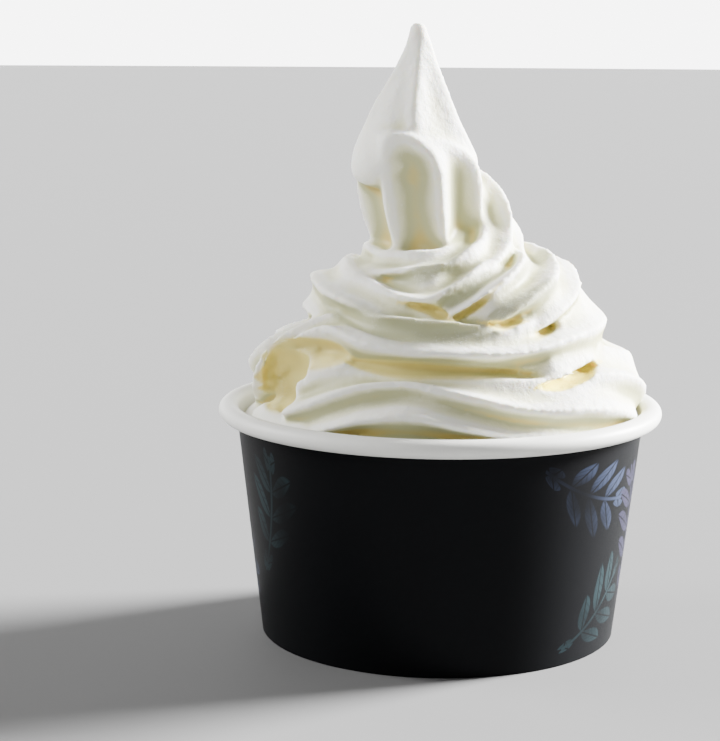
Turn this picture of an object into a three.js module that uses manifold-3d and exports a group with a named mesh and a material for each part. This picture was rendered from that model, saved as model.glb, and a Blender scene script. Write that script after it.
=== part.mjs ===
// Paper cup of soft frozen yogurt: a rolled-rim cup, its recessed base and a piped swirl.
// Millimetres, +Z up, origin at the middle of the foot ring, front of the swirl towards -Y.
import * as THREE from 'three';
import Module from 'manifold-3d';

// Cup.
const RIM_RADIUS = 46;
const CUP_HEIGHT = 48.8;
const FOOT_RADIUS = 36.94;
const WALL_SLOPE = 0.1158;
const PAPER = 0.5;
const GAP = 0.3;
const ROLL_HALF_HEIGHT = 1.85;
const ROLL_END_ANGLE = -135;
const ROLL_STEP = 22.5;
const ROOM_STEP = 18;
const ROLL_HEIGHT = CUP_HEIGHT - ROLL_HALF_HEIGHT;
const BASE_TOP = 5.5;
const HEM_TOP = 4.6;
const CUP_SEGMENTS = 60;

// Swirl: one fluted rope wound inwards and upwards, anticlockwise seen from above.
const TURN = 360;
const SWIRL_TOP = 130;
const ROPE_FLUTES = 8;
const POINTS_PER_FLUTE = 4;
const CREST_SOFTNESS = 0.1;
const ROPE_STEP = 10;
const LONGEST_ROPE_PIECE = 300;
const TWIST_STEP = 13.5;
const START_ROUNDING = 2.2;
const END_ROUNDING = 10;
const SMALLEST_END = 0.1;
const AXIS_CLEARANCE = 0.5;
const LEAN_START = 1380;
const LEAN_LENGTH = 40;
const LEAN = 0.2;
const START_SETBACK = 3.5;
const START_PIECE_END = 262;
const SETBACK_LENGTH = 34;
const SETBACK_LOW = -3;
const SETBACK_HIGH = -0.5;
const TROUGH_START = 586;
const TROUGH_END = 668;
const TROUGH_FADE = 14;
const TROUGH_HALF_WIDTH = 29;
const TROUGH_DEPTH = 0.36;
const HOLLOW_RINGS = 6;
const HOLLOW_POINTS = 8;

// Stations of the rope: azimuth, crest radius, middle height, half width, half height, twist, flute depth.
const ROPE_STATIONS = [
  // first turn, resting on the rim
  [214, 40.9, 49.6, 10.0, 8.0, 0, 0.24],
  [223, 41.3, 50.3, 11.0, 9.2, 8, 0.27],
  [232, 41.8, 50.8, 11.6, 9.7, 20, 0.28],
  [240, 42.1, 51.2, 12.0, 9.6, 32, 0.3],
  [250, 42.3, 51.6, 12.3, 9.3, 44, 0.3],
  [262, 42.5, 51.8, 12.5, 9.0, 50, 0.3],
  [277, 42.8, 51.4, 12.5, 8.8, 38, 0.29],
  [295, 43.1, 50.8, 12.5, 8.6, 20, 0.27],
  [317, 43.3, 51.0, 12.6, 10.0, 8, 0.22],
  [340, 43.0, 51.2, 12.9, 11.3, -17, 0.18],
  [360, 42.8, 51.3, 13.0, 11.8, -48, 0.12],
  [400, 42.5, 51.8, 13.1, 12.0, -65, 0.15],
  [450, 42.0, 52.5, 13.0, 12.0, -85, 0.2],
  [530, 40.5, 52.5, 12.7, 11.5, -122, 0.25],
  // second turn, arching up over the left side
  [545, 40.4, 54.0, 12.6, 11.1, -118, 0.26],
  [553, 40.4, 55.4, 12.6, 10.8, -108, 0.28],
  [560, 40.3, 56.7, 12.5, 10.5, -92, 0.3],
  [569, 40.1, 57.8, 12.4, 10.2, -50, 0.3],
  [577, 39.8, 58.8, 12.3, 10.0, -12, 0.3],
  [585, 39.2, 60.0, 12.2, 9.8, 2, 0.3],
  [592, 38.6, 61.0, 12.1, 9.4, 0, 0.3],
  [605, 37.8, 62.4, 12.1, 9.2, -25, 0.3],
  [618, 37.5, 63.4, 12.0, 9.0, -40, 0.3],
  [630, 37.4, 63.6, 12.0, 8.6, -43, 0.29],
  [648, 37.8, 62.6, 12.0, 7.6, -37, 0.28],
  [660, 37.8, 62.6, 12.0, 7.5, -32, 0.26],
  [675, 37.2, 62.4, 12.0, 8.4, -22, 0.2],
  [720, 34.5, 64.4, 12.1, 9.6, -30, 0.12],
  [810, 31.5, 67.5, 12.3, 9.2, -37, 0.2],
  [900, 29.0, 70.3, 12.4, 8.6, -14, 0.22],
  // third turn, its flutes climbing steeply on the right
  [950, 30.5, 69.5, 12.5, 7.6, -25, 0.25],
  [982, 30.0, 70.0, 12.5, 7.0, -62, 0.28],
  [998, 30.8, 70.6, 12.5, 7.8, -38, 0.31],
  [1011, 32.6, 70.8, 12.6, 8.7, -7, 0.31],
  [1023, 33.4, 71.1, 12.7, 9.1, 15, 0.32],
  [1035, 32.8, 71.4, 12.6, 9.3, 32, 0.32],
  [1052, 31.2, 71.8, 12.4, 9.4, 49, 0.32],
  [1080, 29.3, 72.0, 12.0, 9.5, 74, 0.24],
  [1170, 23.5, 75.0, 11.0, 8.5, 110, 0.22],
  [1260, 18.5, 77.0, 9.5, 6.6, 130, 0.25],
  // last turn, drawn up beside the spire
  [1305, 20.5, 75.6, 10.2, 6.4, 147, 0.28],
  [1350, 23.4, 75.0, 11.0, 7.0, 175, 0.3],
  [1370, 22.8, 75.8, 10.7, 7.4, 196, 0.3],
  [1395, 20.5, 77.0, 10.0, 7.6, 214, 0.3],
  [1420, 18.4, 79.8, 9.4, 8.5, 217, 0.29],
  [1440, 16.8, 84.0, 9.0, 11.5, 218, 0.28],
  [1485, 14.5, 89.0, 8.3, 10.5, 232, 0.25],
  [1540, 11.0, 92.0, 7.5, 8.0, 250, 0.2],
];

// Stations of the three shapes of the spire: height, middle x, middle y, radius, flute depth.
const SPIRE_POINTS_PER_FLUTE = 4;
const COLUMN_FLUTES = 7;
const COLUMN_CREST = 288;
const COLUMN_STATIONS = [
  [74.0, -3.0, 0, 11.0, 0.24],
  [82.0, -3.0, 0, 11.8, 0.3],
  [86.0, -3.5, 0, 12.7, 0.32],
  [90.0, -4.0, 0, 13.3, 0.32],
  [95.0, -4.4, -0.2, 13.4, 0.3],
  [98.5, -5.0, -1.0, 12.8, 0.24],
  [101.0, -6.0, -2.6, 11.2, 0.18],
  [103.0, -7.4, -5.0, 8.2, 0.12],
  [104.2, -8.5, -7.6, 4.8, 0.06],
  [104.8, -9.2, -9.0, 2.0, 0],
];
const CONE_FLUTES = 5;
const CONE_CREST = 272;
const CONE_STATIONS = [
  [84.0, -3.0, 3.0, 8.0, 0],
  [94.0, -3.2, 2.2, 9.8, 0],
  [98.4, -4.1, 1.5, 11.6, 0.05],
  [103.0, -5.6, 0.6, 11.3, 0.16],
  [106.0, -6.1, 0, 10.3, 0.24],
  [109.5, -6.1, 0, 8.8, 0.28],
  [115.7, -5.5, 0, 5.6, 0.26],
  [121.7, -5.1, 0, 2.9, 0.14],
  [124.5, -5.2, 0, 1.9, 0],
  [126.1, -5.3, 0, 1.3, 0],
  [126.3, -5.3, 0, 0.8, 0],
];
const LIP_STATIONS = [
  [93.2, -11.4, -4.6, 2.5, 0],
  [94.0, -11.3, -4.3, 5.4, 0],
  [96.0, -10.8, -3.6, 7.6, 0],
  [99.5, -9.6, -2.6, 8.8, 0],
  [103.0, -8.6, -1.4, 8.7, 0],
  [106.5, -7.7, -0.8, 7.9, 0],
  [110.0, -7.2, -0.4, 6.6, 0],
  [114.0, -6.8, -0.2, 4.7, 0],
  [117.0, -6.2, 0, 2.5, 0],
];

// Low fold of the swirl under the arch on the left, given like the hollows.
const FOLD = [
  [-38.0, -12.0, 46.5, 1.5, 3.0],
  [-35.0, -15.0, 46.5, 3.6, 6.0],
  [-31.0, -19.0, 46.2, 3.8, 7.0],
  [-27.0, -25.0, 45.5, 3.8, 6.0],
  [-24.0, -28.0, 45.0, 2.0, 4.0],
];

// Hollows pressed in between the layers: x, y, z, half height, depth either way along Y.
// The grooves and pockets are pressed in before the rope's blunt start is laid over them.
const GROOVES = [
  // broad groove along the front of the second turn
  [
    [-21.3, -19.5, 69.4, 0.4, 2.2],
    [-17.7, -23.5, 68.8, 1.4, 2.4],
    [-13.6, -29.5, 68.5, 1.9, 2.4],
    [-7.7, -33.0, 67.9, 2.2, 2.6],
    [-2.0, -34.0, 67.8, 2.0, 2.6],
    [3.7, -33.8, 67.9, 1.5, 2.4],
    [7.6, -33.0, 68.0, 1.0, 2.2],
    [10.9, -31.0, 68.1, 0.3, 2.0],
  ],
];
const POCKETS = [
  // deep pocket inside the arch on the left
  [
    [-35.9, -14.0, 55.0, 1.8, 6.0],
    [-35.0, -15.5, 55.3, 4.3, 8.0],
    [-33.8, -17.0, 55.8, 5.5, 9.0],
    [-32.7, -18.5, 56.0, 6.3, 9.0],
    [-31.2, -19.5, 56.0, 6.9, 9.5],
    [-29.6, -20.5, 56.0, 6.6, 9.5],
    [-27.7, -21.5, 56.0, 6.2, 9.0],
    [-26.0, -22.5, 56.2, 5.2, 8.0],
  ],
  // its floor
  [
    [-36.3, -12.0, 52.0, 0.8, 4.0],
    [-35.3, -14.0, 52.2, 2.1, 7.0],
    [-34.0, -17.0, 52.4, 2.8, 9.0],
    [-32.1, -21.0, 52.8, 2.8, 10.0],
    [-29.9, -24.0, 53.2, 2.8, 10.0],
    [-27.4, -26.0, 53.8, 2.2, 9.0],
  ],
];
const HOLLOWS = [
  // the pocket's horn, tapering along the crevice
  [
    [-34.4, -18.0, 59.8, 1.6, 6.0],
    [-32.1, -20.5, 61.0, 2.2, 8.0],
    [-29.6, -22.5, 61.6, 2.5, 8.5],
    [-27.5, -24.0, 61.8, 2.8, 9.0],
    [-25.1, -25.5, 61.9, 2.8, 8.5],
    [-22.2, -28.0, 62.2, 2.5, 8.0],
    [-19.6, -29.5, 62.3, 1.8, 6.5],
    [-17.0, -30.5, 61.6, 0.4, 3.5],
  ],
  // crevice between the first two turns at the front
  [
    [-18.7, -27.5, 61.1, 0.3, 2.0],
    [-15.1, -29.5, 60.5, 1.0, 3.0],
    [-10.6, -31.5, 60.1, 1.5, 3.4],
    [-5.7, -32.8, 60.0, 1.6, 3.6],
    [0.0, -33.2, 59.9, 1.4, 3.4],
    [7.7, -32.8, 59.7, 1.1, 3.2],
    [15.5, -30.0, 59.2, 0.8, 3.0],
    [20.5, -29.8, 58.7, 0.3, 2.0],
  ],
  // slit between them on the right
  [
    [19.2, -33.0, 57.0, 0.4, 5.0],
    [21.2, -31.0, 57.0, 0.8, 7.0],
    [23.7, -28.5, 57.2, 1.1, 7.5],
    [27.9, -23.5, 58.2, 1.2, 7.5],
    [29.6, -21.0, 58.7, 1.1, 7.0],
    [31.6, -18.0, 59.5, 0.4, 5.0],
  ],
  // pits along the foot of the third turn, where its flutes spread
  [
    [-7.3, -27.0, 72.3, 0.3, 2.5],
    [-4.8, -27.0, 71.7, 0.8, 3.2],
    [-2.4, -27.5, 71.2, 1.0, 3.2],
    [-0.3, -28.0, 70.5, 1.1, 3.2],
    [2.4, -29.0, 69.5, 0.4, 2.5],
  ],
  [
    [1.4, -29.0, 69.5, 0.3, 3.0],
    [3.4, -29.0, 70.1, 0.8, 3.5],
    [7.2, -28.8, 72.2, 1.0, 3.5],
    [8.9, -28.4, 73.5, 0.9, 3.5],
    [11.4, -27.5, 76.3, 0.3, 3.0],
  ],
  [
    [8.2, -30.0, 69.1, 0.3, 3.0],
    [10.1, -29.5, 68.7, 0.7, 3.6],
    [12.5, -28.5, 68.5, 0.9, 4.0],
    [15.6, -26.5, 69.0, 0.4, 3.0],
  ],
  [
    [17.4, -27.5, 66.0, 0.3, 3.0],
    [19.2, -25.0, 66.2, 0.8, 3.6],
    [22.3, -21.5, 67.2, 0.9, 3.6],
    [23.9, -20.0, 68.2, 0.4, 3.0],
  ],
];

// Filling below the rope and the solid middle of the swirl: radius and height.
const FILLING_PROFILE = [
  [38.5, BASE_TOP + GAP],
  [41.5, 44.5],
  [40.0, 46.4],
  [36.0, 47.4],
  [33.0, 52],
  [33.0, 60],
  [27.0, 66],
  [20.0, 72],
  [14.0, 76],
  [8.0, 84],
];

const wasm = await Module();
wasm.setup();

const cosine = (degrees) => Math.cos(THREE.MathUtils.degToRad(degrees));
const sine = (degrees) => Math.sin(THREE.MathUtils.degToRad(degrees));
const wallRadius = (height) => FOOT_RADIUS + WALL_SLOPE * height;

// Smooth values between the stations of a table whose first column is the parameter.
function between(stations) {
  const positions = stations.map((row) => row[0]);
  const values = stations.flatMap((row) => row.slice(1));
  const size = stations[0].length - 1;
  const interpolant = new THREE.CubicInterpolant(positions, values, size, new Float64Array(size));
  return (position) => Array.from(interpolant.evaluate(position));
}

// Equal steps from start to end, both included, none longer than the given step.
function steps(start, end, longest) {
  const count = Math.ceil(Math.abs(end - start) / longest);
  return Array.from({ length: count + 1 }, (_, i) => start + ((end - start) * i) / count);
}

// Radius factor of a fluted section: 1 on each narrow crest, less in the wide grooves between.
function flute(angle, flutes, depth) {
  const wave = Math.hypot(sine((flutes * angle) / 2), CREST_SOFTNESS);
  return 1 - depth * (wave - CREST_SOFTNESS);
}

// Closed solid through rings of equally many points, each end closed by a fan to its middle.
function solidThrough(rings) {
  const size = rings[0].length;
  const points = rings.flat();
  const triangles = [];
  for (let row = 0; row < rings.length - 1; row++) {
    for (let i = 0; i < size; i++) {
      const here = row * size + i;
      const next = row * size + ((i + 1) % size);
      triangles.push(here, next, next + size, here, next + size, here + size);
    }
  }
  const middle = (ring) => ring.reduce((sum, p) => sum.add(p), new THREE.Vector3()).divideScalar(size);
  const last = (rings.length - 1) * size;
  const bottom = points.push(middle(rings[0])) - 1;
  const top = points.push(middle(rings.at(-1))) - 1;
  for (let i = 0; i < size; i++) {
    const next = (i + 1) % size;
    triangles.push(bottom, next, i);
    triangles.push(top, last + i, last + next);
  }
  const vertProperties = Float32Array.from(points.flatMap((p) => p.toArray()));
  const triVerts = Uint32Array.from(triangles);
  return new wasm.Manifold(new wasm.Mesh({ numProp: 3, vertProperties, triVerts }));
}

// Solid of revolution about the Z axis from a list of [radius, height], bottom to top.
function revolved(profile, segments) {
  const angles = Array.from({ length: segments }, (_, i) => (TURN * i) / segments);
  return solidThrough(
    profile.map(([radius, height]) =>
      angles.map((angle) => new THREE.Vector3(radius * cosine(angle), radius * sine(angle), height)),
    ),
  );
}

const ropeAt = between(ROPE_STATIONS);
const ROPE_START = ROPE_STATIONS[0][0];
const ROPE_END = ROPE_STATIONS.at(-1)[0];

// Size factor of a section near an end that is rounded like a dome of the given length.
function roundedEnd(angle, radius, rounding) {
  const along = Math.min((THREE.MathUtils.degToRad(angle) * radius) / rounding, 1);
  return Math.sqrt(1 - (1 - along) ** 2);
}

// Trough that sinks the crest at the twist angle, deepest there and gone at both ends of its stretch.
function trough(azimuth, angle) {
  const fade = Math.min(azimuth - TROUGH_START, TROUGH_END - azimuth) / TROUGH_FADE;
  const fromTrough = (THREE.MathUtils.euclideanModulo(angle + TURN / 2, TURN) - TURN / 2) / TROUGH_HALF_WIDTH;
  return TROUGH_DEPTH * THREE.MathUtils.clamp(fade, 0, 1) * Math.exp(-(fromTrough ** 2));
}

// Turn of a point of the blunt start, which is set back above its foot.
function setback(azimuth, rise) {
  const nearStart = THREE.MathUtils.clamp(1 - (azimuth - ROPE_START) / SETBACK_LENGTH, 0, 1);
  return START_SETBACK * nearStart * THREE.MathUtils.smoothstep(rise, SETBACK_LOW, SETBACK_HIGH);
}

// One section of the rope: a fluted oval in the upright plane of its azimuth.
function ropeSection(azimuth) {
  const [crestRadius, height, halfWidth, halfHeight, twist, depth] = ropeAt(azimuth);
  const radius = crestRadius - halfWidth;
  const innerWidth = Math.min(halfWidth, radius - AXIS_CLEARANCE);
  const atStart = roundedEnd(azimuth - ROPE_START, radius, START_ROUNDING);
  const atEnd = roundedEnd(ROPE_END - azimuth, radius, END_ROUNDING);
  const size = Math.max(atStart * atEnd, SMALLEST_END);
  const lean = LEAN * THREE.MathUtils.clamp((azimuth - LEAN_START) / LEAN_LENGTH, 0, 1);
  const count = ROPE_FLUTES * POINTS_PER_FLUTE;
  return Array.from({ length: count }, (_, i) => {
    const turned = (TURN * i) / count;
    const angle = twist + turned;
    const reach = size * (flute(turned, ROPE_FLUTES, depth) - trough(azimuth, turned));
    const width = cosine(angle) > 0 ? halfWidth : innerWidth;
    const rise = halfHeight * reach * sine(angle);
    const out = Math.max(radius + width * reach * cosine(angle) - lean * rise, AXIS_CLEARANCE);
    const along = azimuth + setback(azimuth, rise);
    return new THREE.Vector3(out * cosine(along), out * sine(along), height + rise);
  }).reverse();
}

// Azimuths of the rope's sections, closer together where the flutes twist fast.
function ropeAzimuths() {
  const spans = ROPE_STATIONS.slice(1).map((station, i) => [ROPE_STATIONS[i], station]);
  const azimuths = spans.flatMap(([from, to]) => {
    const longest = Math.min(ROPE_STEP, (TWIST_STEP * (to[0] - from[0])) / Math.abs(to[5] - from[5]));
    return steps(from[0], to[0], longest).slice(1);
  });
  return [ROPE_START, ...azimuths];
}

// The rope as solids of less than one turn each, fused where they meet.
function makeRope() {
  const pieces = [[]];
  for (const azimuth of ropeAzimuths()) {
    const piece = pieces.at(-1);
    piece.push(azimuth);
    if (azimuth - piece[0] > LONGEST_ROPE_PIECE) {
      pieces.push([azimuth]);
    }
  }
  const solids = pieces.map((piece) => solidThrough(piece.map(ropeSection)));
  return solids.reduce((whole, solid) => whole.add(solid));
}

// The rope's blunt start alone.
function makeRopeStart() {
  return solidThrough(ropeAzimuths().filter((azimuth) => azimuth <= START_PIECE_END).map(ropeSection));
}

// Solid through upright ovals across X.
function ovals(stations) {
  const at = between(stations);
  const first = stations[0][0];
  const last = stations.at(-1)[0];
  return solidThrough(
    steps(first, last, (last - first) / HOLLOW_RINGS).map((x) => {
      const [y, height, halfHeight, depth] = at(x);
      return Array.from({ length: HOLLOW_POINTS }, (_, i) => {
        const angle = (TURN * i) / HOLLOW_POINTS;
        return new THREE.Vector3(x, y + depth * cosine(angle), height + halfHeight * sine(angle));
      });
    }),
  );
}

// Fluted loft standing on end, one level for each station.
function fluted(stations, flutes, crest) {
  const count = flutes * SPIRE_POINTS_PER_FLUTE;
  return solidThrough(
    stations.map(([height, x, y, radius, depth]) =>
      Array.from({ length: count }, (_, i) => {
        const angle = crest + (TURN * i) / count;
        const reach = radius * flute(angle - crest, flutes, depth);
        return new THREE.Vector3(x + reach * cosine(angle), y + reach * sine(angle), height);
      }),
    ),
  );
}

// Point of the rolled rim's outline at an angle, grown or shrunk by a margin.
function rollPoint(angle, margin = 0) {
  const halfWidth = (RIM_RADIUS - wallRadius(ROLL_HEIGHT) + PAPER) / 2;
  return [
    RIM_RADIUS - halfWidth + (halfWidth + margin) * cosine(angle),
    ROLL_HEIGHT + (ROLL_HALF_HEIGHT + margin) * sine(angle),
  ];
}

// Space that the yogurt may fill: inside the wall, over the roll and above it.
function roomForYogurt() {
  const floor = BASE_TOP + GAP;
  const profile = [[wallRadius(floor) - PAPER - GAP, floor]];
  steps(180, 90, ROOM_STEP).forEach((angle) => profile.push(rollPoint(angle, GAP)));
  profile.push([RIM_RADIUS - GAP, CUP_HEIGHT + GAP]);
  profile.push([RIM_RADIUS - GAP, SWIRL_TOP]);
  return revolved(profile, CUP_SEGMENTS);
}

// Closed ring of revolution from a profile that runs round its own section.
function ring(profile) {
  const outline = [...profile, profile[0]].map(([radius, height]) => new THREE.Vector2(radius, height));
  return new THREE.LatheGeometry(outline, CUP_SEGMENTS).rotateX(Math.PI / 2);
}

// Conical wall with its folded-in foot hem and a rim rolled outwards, open underneath.
function makeWall() {
  const wall = (height, inset) => [wallRadius(height) - inset, height];
  const hem = 2 * PAPER + 2 * GAP;
  const outside = [wall(0, 0), wall(ROLL_HEIGHT, 0)];
  const rollInside = steps(180, ROLL_END_ANGLE, ROLL_STEP).slice(1).map((angle) => rollPoint(angle, -PAPER));
  const rollOutside = steps(ROLL_END_ANGLE, 180, ROLL_STEP).map((angle) => rollPoint(angle));
  const slot = [wall(PAPER, PAPER), wall(PAPER, hem)];
  const fold = [wall(HEM_TOP, hem), wall(HEM_TOP, hem + PAPER), wall(0, hem + PAPER)];
  return ring([...outside, ...rollInside, ...rollOutside, ...slot, ...fold]);
}

// Recessed bottom disc with a skirt turned down into the hem.
function makeBase() {
  const skirt = (height, inset) => [wallRadius(height) - PAPER - GAP - inset, height];
  const outline = [
    [0, BASE_TOP - PAPER],
    skirt(BASE_TOP - PAPER, PAPER),
    skirt(PAPER + GAP, PAPER),
    skirt(PAPER + GAP, 0),
    skirt(BASE_TOP, 0),
    [0, BASE_TOP],
  ].map(([radius, height]) => new THREE.Vector2(radius, height));
  return new THREE.LatheGeometry(outline, CUP_SEGMENTS).rotateX(Math.PI / 2);
}

// Filling, rope, fold, column, cone and lip fused into one body, hollowed and trimmed to the cup.
function makeYogurt() {
  const fused = revolved(FILLING_PROFILE, CUP_SEGMENTS)
    .add(makeRope())
    .add(ovals(FOLD))
    .add(fluted(COLUMN_STATIONS, COLUMN_FLUTES, COLUMN_CREST))
    .add(fluted(CONE_STATIONS, CONE_FLUTES, CONE_CREST))
    .add(fluted(LIP_STATIONS, CONE_FLUTES, CONE_CREST));
  const pressIn = (solid, hollow) => solid.subtract(ovals(hollow));
  const pocketed = [...GROOVES, ...POCKETS].reduce(pressIn, fused).add(makeRopeStart());
  const body = HOLLOWS.reduce(pressIn, pocketed).intersect(roomForYogurt());
  const { vertProperties, triVerts } = largestBody(body).getMesh();
  const geometry = new THREE.BufferGeometry();
  geometry.setAttribute('position', new THREE.BufferAttribute(vertProperties, 3));
  geometry.setIndex(new THREE.BufferAttribute(triVerts, 1));
  return geometry;
}

// The outermost body alone, without any sealed pocket or scrap that fusing leaves.
function largestBody(solid) {
  return solid.decompose().reduce((best, body) => (body.volume() > best.volume() ? body : best));
}

const blackPaper = new THREE.MeshStandardMaterial({ color: 0x16171a, roughness: 0.55, metalness: 0 });
const whitePaper = new THREE.MeshStandardMaterial({ color: 0xe9e8e2, roughness: 0.6, metalness: 0 });
const frozenYogurt = new THREE.MeshStandardMaterial({ color: 0xf1eddf, roughness: 0.45, metalness: 0 });

function part(name, geometry, material) {
  const mesh = new THREE.Mesh(geometry, material);
  mesh.name = name;
  return mesh;
}

const cup = new THREE.Group();
cup.add(part('cup_wall', makeWall(), blackPaper));
cup.add(part('cup_base', makeBase(), whitePaper));
cup.add(part('yogurt', makeYogurt(), frozenYogurt));

export default cup;
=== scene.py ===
import bpy
import numpy as np
from mathutils import Matrix, Vector


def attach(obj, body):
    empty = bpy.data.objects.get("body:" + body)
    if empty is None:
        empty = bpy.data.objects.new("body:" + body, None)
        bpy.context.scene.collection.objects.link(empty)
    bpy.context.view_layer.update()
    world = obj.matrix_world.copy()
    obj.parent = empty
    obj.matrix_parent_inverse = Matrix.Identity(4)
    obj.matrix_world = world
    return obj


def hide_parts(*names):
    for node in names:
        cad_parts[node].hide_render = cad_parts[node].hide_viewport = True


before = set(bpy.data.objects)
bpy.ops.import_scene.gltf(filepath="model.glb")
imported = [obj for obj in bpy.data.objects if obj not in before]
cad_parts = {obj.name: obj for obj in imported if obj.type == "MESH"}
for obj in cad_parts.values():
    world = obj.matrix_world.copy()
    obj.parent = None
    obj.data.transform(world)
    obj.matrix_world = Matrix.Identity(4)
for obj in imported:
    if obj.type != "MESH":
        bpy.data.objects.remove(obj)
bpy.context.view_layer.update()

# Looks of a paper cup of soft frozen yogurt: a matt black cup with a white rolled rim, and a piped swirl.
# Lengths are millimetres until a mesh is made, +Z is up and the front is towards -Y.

MM = 0.001
TURN = 2 * np.pi

# Cup.
RIM_RADIUS = 46.0
CUP_HEIGHT = 48.8
FOOT_RADIUS = 36.94
WALL_SLOPE = 0.1158
PAPER = 0.5
GAP = 0.3
ROLL_HALF_HEIGHT = 1.85
ROLL_HEIGHT = CUP_HEIGHT - ROLL_HALF_HEIGHT
ROLL_END = -135.0
BASE_TOP = 5.5
HEM_TOP = 4.6
CUP_SEGMENTS = 288
SEAM_AZIMUTH = 96.0
SEAM_HEIGHT = 0.28
SEAM_HALF_WIDTH = 5.0
SEAM_EDGE = 0.35
SEAM_FADE = 1.5
LARGEST_POWER = 50.0
FOOT_ROUNDING = 0.15
FIRST_LEVEL = 0.4
HEM_ROUNDING = 0.1
DOME_HEIGHT = 0.25
DISC_HOLE = 0.4
DISC_MARGIN = 0.6
ROOM_TOP = 130.0

# Counts of points along the parts of the cup's profile.
OUTSIDE_LEVELS = 40
INSIDE_LEVELS = 24
ROLL_OUTSIDE_POINTS = 60
ROLL_INSIDE_POINTS = 40
ROLL_ROOM_POINTS = 16
DISC_POINTS = 24

# Swirl: one fluted rope wound inwards and upwards, anticlockwise seen from above.
VOXEL = 0.62
SMOOTHING_PASSES = 3
SMOOTHING_FACTOR = 0.5
FILLING_SEGMENTS = 120
TOUCH = 0.06
ROPE_FLUTES = 8
CREST_SOFTNESS = 0.1
ROPE_STEP = 1.0
ROPE_POINTS = 192
START_ROUNDING = 2.2
END_ROUNDING = 10.0
SMALLEST_END = 0.02
AXIS_CLEARANCE = 0.5
LEAN_START = 1380.0
LEAN_LENGTH = 40.0
LEAN = 0.2
START_SETBACK = 3.5
START_PIECE_END = 262.0
SETBACK_LENGTH = 34.0
SETBACK_LOW = -3.0
SETBACK_HIGH = -0.5
TROUGH_START = 586.0
TROUGH_END = 668.0
TROUGH_FADE = 14.0
TROUGH_HALF_WIDTH = 29.0
TROUGH_DEPTH = 0.36
HOLLOW_POINTS = 40

# Slow waves that make the rope uneven: share, waves in a turn of the swirl, waves round the section, phase.
SIZE_WAVES = ((0.012, 7.3, 2, 0), (0.009, 16.7, -3, 1.3))
DEPTH_WAVES = ((0.18, 3.1, 3, 0), (0.12, 8.9, -2, 0))

# Stations of the rope: azimuth, crest radius, middle height, half width, half height, twist, flute depth.
ROPE_STATIONS = np.array([
    # first turn, resting on the rim
    [214, 40.9, 49.6, 10.0, 8.0, 0, 0.24],
    [223, 41.3, 50.3, 11.0, 9.2, 8, 0.27],
    [232, 41.8, 50.8, 11.6, 9.7, 20, 0.28],
    [240, 42.1, 51.2, 12.0, 9.6, 32, 0.3],
    [250, 42.3, 51.6, 12.3, 9.3, 44, 0.3],
    [262, 42.5, 51.8, 12.5, 9.0, 50, 0.3],
    [277, 42.8, 51.4, 12.5, 8.8, 38, 0.29],
    [295, 43.1, 50.8, 12.5, 8.6, 20, 0.27],
    [317, 43.3, 51.0, 12.6, 10.0, 8, 0.22],
    [340, 43.0, 51.2, 12.9, 11.3, -17, 0.18],
    [360, 42.8, 51.3, 13.0, 11.8, -48, 0.12],
    [400, 42.5, 51.8, 13.1, 12.0, -65, 0.15],
    [450, 42.0, 52.5, 13.0, 12.0, -85, 0.2],
    [530, 40.5, 52.5, 12.7, 11.5, -122, 0.25],
    # second turn, arching up over the left side
    [545, 40.4, 54.0, 12.6, 11.1, -118, 0.26],
    [553, 40.4, 55.4, 12.6, 10.8, -108, 0.28],
    [560, 40.3, 56.7, 12.5, 10.5, -92, 0.3],
    [569, 40.1, 57.8, 12.4, 10.2, -50, 0.3],
    [577, 39.8, 58.8, 12.3, 10.0, -12, 0.3],
    [585, 39.2, 60.0, 12.2, 9.8, 2, 0.3],
    [592, 38.6, 61.0, 12.1, 9.4, 0, 0.3],
    [605, 37.8, 62.4, 12.1, 9.2, -25, 0.3],
    [618, 37.5, 63.4, 12.0, 9.0, -40, 0.3],
    [630, 37.4, 63.6, 12.0, 8.6, -43, 0.29],
    [648, 37.8, 62.6, 12.0, 7.6, -37, 0.28],
    [660, 37.8, 62.6, 12.0, 7.5, -32, 0.26],
    [675, 37.2, 62.4, 12.0, 8.4, -22, 0.2],
    [720, 34.5, 64.4, 12.1, 9.6, -30, 0.12],
    [810, 31.5, 67.5, 12.3, 9.2, -37, 0.2],
    [900, 29.0, 70.3, 12.4, 8.6, -14, 0.22],
    # third turn, its flutes climbing steeply on the right
    [950, 30.5, 69.5, 12.5, 7.6, -25, 0.25],
    [982, 30.0, 70.0, 12.5, 7.0, -62, 0.28],
    [998, 30.8, 70.6, 12.5, 7.8, -38, 0.31],
    [1011, 32.6, 70.8, 12.6, 8.7, -7, 0.31],
    [1023, 33.4, 71.1, 12.7, 9.1, 15, 0.32],
    [1035, 32.8, 71.4, 12.6, 9.3, 32, 0.32],
    [1052, 31.2, 71.8, 12.4, 9.4, 49, 0.32],
    [1080, 29.3, 72.0, 12.0, 9.5, 74, 0.24],
    [1170, 23.5, 75.0, 11.0, 8.5, 110, 0.22],
    [1260, 18.5, 77.0, 9.5, 6.6, 130, 0.25],
    # last turn, drawn up beside the spire
    [1305, 20.5, 75.6, 10.2, 6.4, 147, 0.28],
    [1350, 23.4, 75.0, 11.0, 7.0, 175, 0.3],
    [1370, 22.8, 75.8, 10.7, 7.4, 196, 0.3],
    [1395, 20.5, 77.0, 10.0, 7.6, 214, 0.3],
    [1420, 18.4, 79.8, 9.4, 8.5, 217, 0.29],
    [1440, 16.8, 84.0, 9.0, 11.5, 218, 0.28],
    [1485, 14.5, 89.0, 8.3, 10.5, 232, 0.25],
    [1540, 11.0, 92.0, 7.5, 8.0, 250, 0.2],
])

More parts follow.
